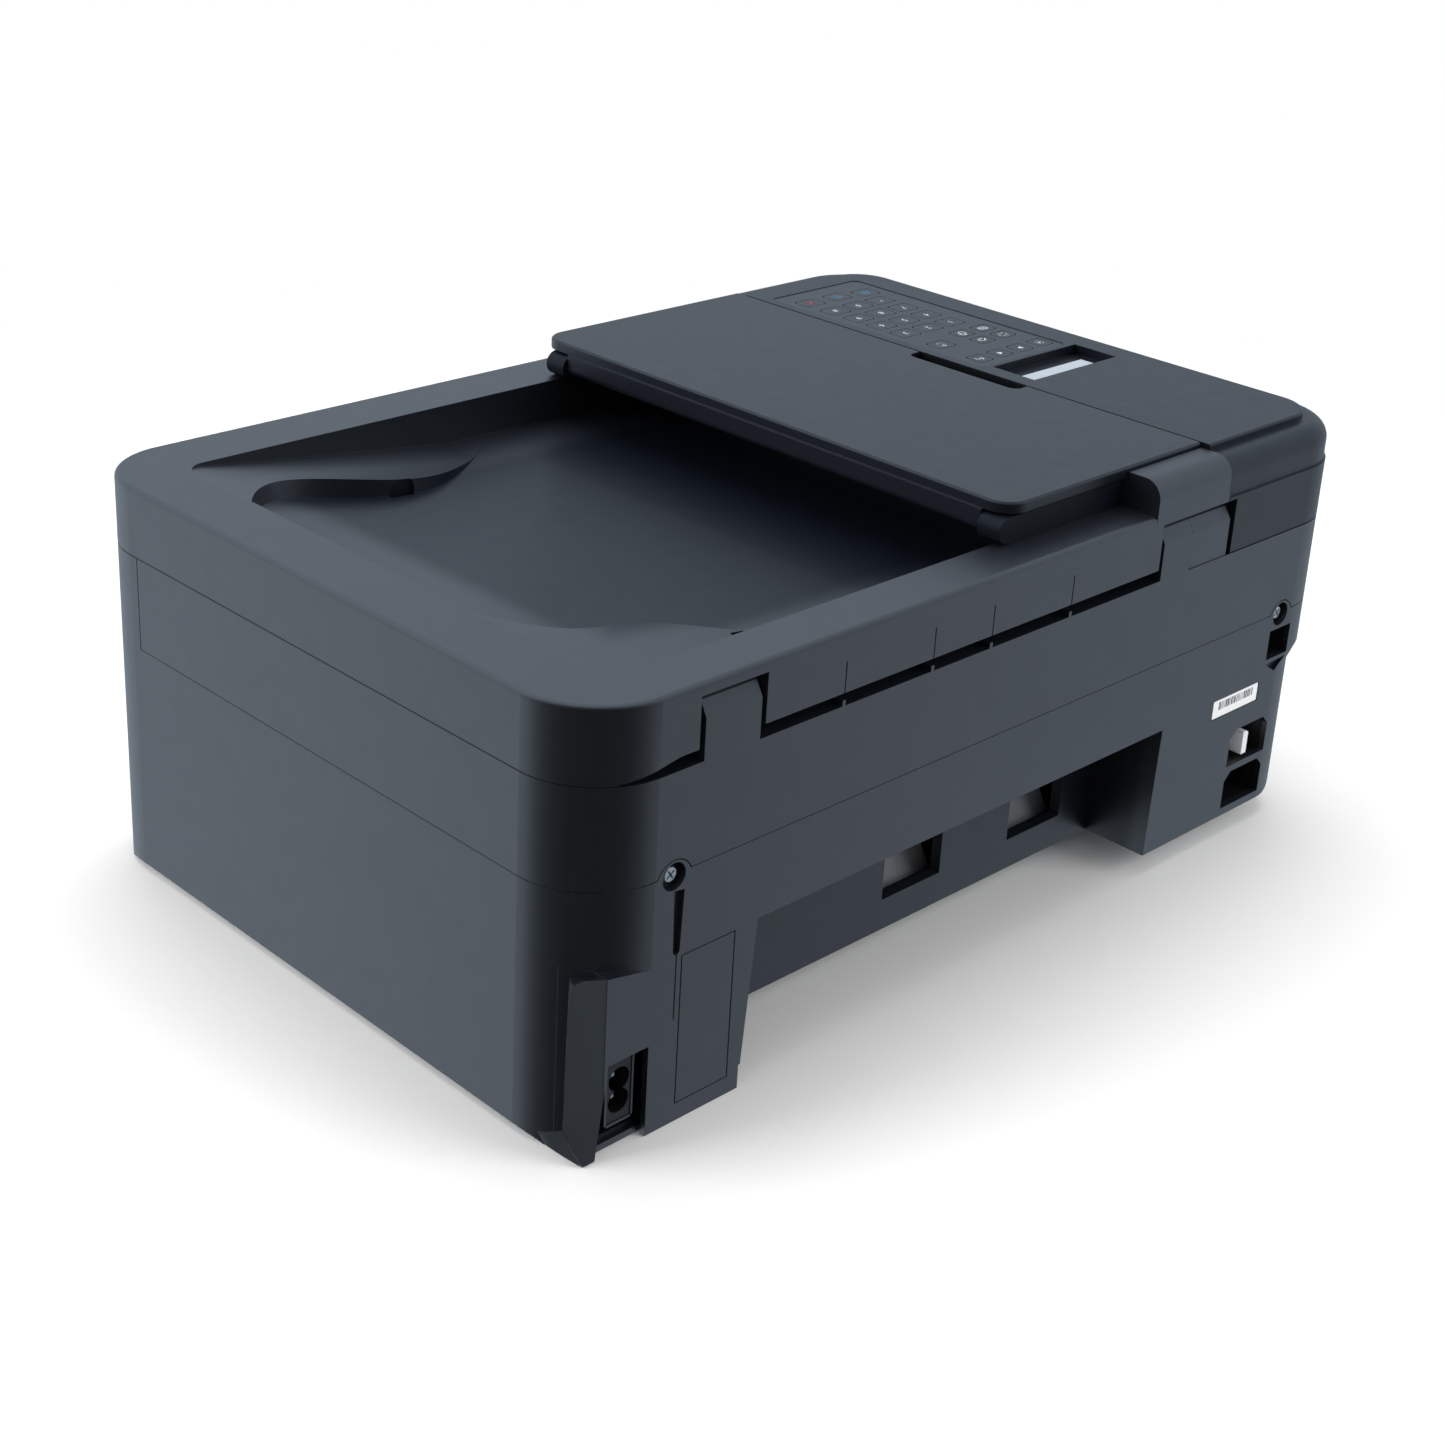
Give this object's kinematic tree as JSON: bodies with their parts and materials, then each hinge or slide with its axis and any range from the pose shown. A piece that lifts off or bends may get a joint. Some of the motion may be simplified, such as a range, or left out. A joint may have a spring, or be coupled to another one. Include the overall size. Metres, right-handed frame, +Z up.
{
  "type": "inkjet printer",
  "caption": "Compact all-in-one inkjet printer with a hinged scanner cover, document feeder, key panel, front paper flaps and rear sockets.",
  "frame": {"origin": "middle of the footprint, on the floor", "axes": "+X user's right seen from the front, +Y rear, +Z up"},
  "size_m": [0.435, 0.295, 0.1815],
  "materials": {
    "charcoal_case": "fine-textured charcoal",
    "black_plastic": "satin black",
    "socket_black": "black",
    "clear_glass": "clear",
    "foot_rubber": "matt",
    "bright_steel": "plated",
    "white_plug": "white",
    "circuit_board": "green resist",
    "motor_steel": "plated can",
    "roller_rubber": "matt",
    "gear_white": "natural",
    "belt_rubber": "matt",
    "cartridge_black": "black",
    "white_foam": "white foam",
    "panel_film": "satin film",
    "display_glass": "pale window",
    "key_plastic": "charcoal"
  },
  "bodies": {
    "base": {"lower_case": "charcoal_case", "upper_case": "charcoal_case", "cable_cover": "charcoal_case", "platen_glass": "clear_glass", "rubber_feet": "foot_rubber", "case_screws": "bright_steel", "power_inlet": "socket_black", "power_supply": "black_plastic", "usb_port": "socket_black", "phone_jacks": "socket_black", "main_board": "circuit_board", "engine_frame": "bright_steel", "print_platen": "black_plastic", "timing_belt": "belt_rubber", "carriage_motor": "motor_steel", "maintenance_unit": "black_plastic", "scan_rail": "bright_steel"},
    "document_cover": {"lid_shell": "charcoal_case", "hinge_pins": "bright_steel", "pressure_pad": "white_foam", "feeder_base": "charcoal_case", "feeder_end_block": "charcoal_case", "control_panel": "charcoal_case", "key_film": "panel_film", "panel_board": "circuit_board", "display_window": "display_glass"},
    "document_tray": {"document_tray": "charcoal_case"},
    "guide_front": {"document_guide_front": "black_plastic"},
    "guide_rear": {"document_guide_rear": "black_plastic"},
    "output_cover": {"output_cover": "charcoal_case"},
    "front_tray": {"front_tray": "charcoal_case"},
    "tray_extension": {"tray_extension": "black_plastic"},
    "paper_guide_left": {"paper_guide_left": "black_plastic"},
    "paper_guide_right": {"paper_guide_right": "black_plastic"},
    "carriage": {"carriage": "black_plastic", "ink_cartridges": "cartridge_black"},
    "drive_pulley": {"drive_pulley": "gear_white"},
    "idler_pulley": {"idler_pulley": "gear_white"},
    "scan_bar": {"scan_bar": "black_plastic"},
    "feed_roller": {"feed_roller": "roller_rubber", "feed_gear": "gear_white"},
    "idler_gear": {"idler_gear": "gear_white"},
    "eject_roller": {"eject_roller": "roller_rubber", "eject_gear": "gear_white"},
    "pick_roller": {"feeder_pick_roller": "roller_rubber"},
    "exit_roller": {"feeder_exit_roller": "roller_rubber"},
    "jack_plug": {"jack_plug": "white_plug"},
    "number_keys": {"number_keys": "key_plastic"},
    "stop_key": {"stop_key": "key_plastic"},
    "start_black_key": {"start_black_key": "key_plastic"},
    "start_colour_key": {"start_colour_key": "key_plastic"},
    "copy_key": {"copy_key": "key_plastic"},
    "scan_key": {"scan_key": "key_plastic"},
    "fax_key": {"fax_key": "key_plastic"},
    "setup_key": {"setup_key": "key_plastic"},
    "power_key": {"power_key": "key_plastic"},
    "back_key": {"back_key": "key_plastic"},
    "left_key": {"left_key": "key_plastic"},
    "right_key": {"right_key": "key_plastic"},
    "ok_key": {"ok_key": "key_plastic"}
  },
  "joints": [
    {"name": "cover_hinge", "type": "hinge", "parent": "base", "child": "document_cover", "pos_m": [0, 0.1395, 0.154], "axis": [-1, 0, 0], "range_deg": [0, 65]},
    {"name": "document_tray_hinge", "type": "hinge", "parent": "document_cover", "child": "document_tray", "pos_m": [-0.0055, 0.0015, 0.171], "axis": [0, 1, 0], "range_deg": [0, 110]},
    {"name": "output_cover_hinge", "type": "hinge", "parent": "base", "child": "output_cover", "pos_m": [0, -0.1455, 0.0666], "axis": [1, 0, 0], "range_deg": [0, 90]},
    {"name": "front_tray_hinge", "type": "hinge", "parent": "base", "child": "front_tray", "pos_m": [0, -0.1455, 0.0153], "axis": [1, 0, 0], "range_deg": [0, 90]},
    {"name": "tray_extension_slide", "type": "slide", "parent": "front_tray", "child": "tray_extension", "axis": [0, 0, 1], "range_m": [0, 0.048]},
    {"name": "paper_guide_slide", "type": "slide", "parent": "base", "child": "paper_guide_left", "axis": [1, 0, 0], "range_m": [0, 0.058]},
    {"name": "paper_guide_right_slide", "type": "slide", "parent": "base", "child": "paper_guide_right", "axis": [1, 0, 0], "range_m": [-0.058, 0]},
    {"name": "document_guide_slide", "type": "slide", "parent": "document_tray", "child": "guide_front", "axis": [0, 1, 0], "range_m": [0, 0.048]},
    {"name": "document_guide_rear_slide", "type": "slide", "parent": "document_tray", "child": "guide_rear", "axis": [0, 1, 0], "range_m": [-0.048, 0]},
    {"name": "carriage_slide", "type": "slide", "parent": "base", "child": "carriage", "axis": [-1, 0, 0], "range_m": [0, 0.238]},
    {"name": "scan_slide", "type": "slide", "parent": "base", "child": "scan_bar", "axis": [1, 0, 0], "range_m": [0, 0.274]},
    {"name": "jack_plug_pull", "type": "slide", "parent": "base", "child": "jack_plug", "axis": [0, 1, 0], "range_m": [0, 0.022]},
    {"name": "feed_roller_spin", "type": "hinge", "parent": "base", "child": "feed_roller", "pos_m": [0, 0.026, 0.05], "axis": [1, 0, 0], "continuous": true},
    {"name": "idler_gear_spin", "type": "hinge", "parent": "base", "child": "idler_gear", "pos_m": [0, -0.00936, 0.05678], "axis": [1, 0, 0], "continuous": true},
    {"name": "eject_roller_spin", "type": "hinge", "parent": "base", "child": "eject_roller", "pos_m": [0, -0.044, 0.047], "axis": [1, 0, 0], "continuous": true},
    {"name": "pick_roller_spin", "type": "hinge", "parent": "document_cover", "child": "pick_roller", "pos_m": [-0.058, 0, 0.1696], "axis": [0, 1, 0], "continuous": true},
    {"name": "exit_roller_spin", "type": "hinge", "parent": "document_cover", "child": "exit_roller", "pos_m": [-0.04, 0, 0.1696], "axis": [0, 1, 0], "continuous": true},
    {"name": "drive_pulley_spin", "type": "hinge", "parent": "base", "child": "drive_pulley", "pos_m": [0.166, 0.06, 0.093], "axis": [0, 1, 0], "continuous": true},
    {"name": "idler_pulley_spin", "type": "hinge", "parent": "base", "child": "idler_pulley", "pos_m": [-0.166, 0.06, 0.093], "axis": [0, 1, 0], "continuous": true},
    {"name": "number_keys_press", "type": "slide", "parent": "document_cover", "child": "number_keys", "axis": [0, 0, -1], "range_m": [0, 0.0008], "stiffness_N_per_m": 300},
    {"name": "stop_press", "type": "slide", "parent": "document_cover", "child": "stop_key", "axis": [0, 0, -1], "range_m": [0, 0.0008], "stiffness_N_per_m": 300},
    {"name": "start_black_press", "type": "slide", "parent": "document_cover", "child": "start_black_key", "axis": [0, 0, -1], "range_m": [0, 0.0008], "stiffness_N_per_m": 300},
    {"name": "start_colour_press", "type": "slide", "parent": "document_cover", "child": "start_colour_key", "axis": [0, 0, -1], "range_m": [0, 0.0008], "stiffness_N_per_m": 300},
    {"name": "copy_press", "type": "slide", "parent": "document_cover", "child": "copy_key", "axis": [0, 0, -1], "range_m": [0, 0.0008], "stiffness_N_per_m": 300},
    {"name": "scan_press", "type": "slide", "parent": "document_cover", "child": "scan_key", "axis": [0, 0, -1], "range_m": [0, 0.0008], "stiffness_N_per_m": 300},
    {"name": "fax_press", "type": "slide", "parent": "document_cover", "child": "fax_key", "axis": [0, 0, -1], "range_m": [0, 0.0008], "stiffness_N_per_m": 300},
    {"name": "setup_press", "type": "slide", "parent": "document_cover", "child": "setup_key", "axis": [0, 0, -1], "range_m": [0, 0.0008], "stiffness_N_per_m": 300},
    {"name": "power_press", "type": "slide", "parent": "document_cover", "child": "power_key", "axis": [0, 0, -1], "range_m": [0, 0.0008], "stiffness_N_per_m": 300},
    {"name": "back_press", "type": "slide", "parent": "document_cover", "child": "back_key", "axis": [0, 0, -1], "range_m": [0, 0.0008], "stiffness_N_per_m": 300},
    {"name": "left_press", "type": "slide", "parent": "document_cover", "child": "left_key", "axis": [0, 0, -1], "range_m": [0, 0.0008], "stiffness_N_per_m": 300},
    {"name": "right_press", "type": "slide", "parent": "document_cover", "child": "right_key", "axis": [0, 0, -1], "range_m": [0, 0.0008], "stiffness_N_per_m": 300},
    {"name": "ok_press", "type": "slide", "parent": "document_cover", "child": "ok_key", "axis": [0, 0, -1], "range_m": [0, 0.0008], "stiffness_N_per_m": 300}
  ],
  "couplings": [
    {"joint": "paper_guide_right_slide", "follows": "paper_guide_slide", "ratio": -1},
    {"joint": "document_guide_rear_slide", "follows": "document_guide_slide", "ratio": -1},
    {"joint": "idler_gear_spin", "follows": "feed_roller_spin", "ratio": -1},
    {"joint": "eject_roller_spin", "follows": "feed_roller_spin", "ratio": 1},
    {"joint": "exit_roller_spin", "follows": "pick_roller_spin", "ratio": 1},
    {"joint": "idler_pulley_spin", "follows": "drive_pulley_spin", "ratio": 1}
  ]
}
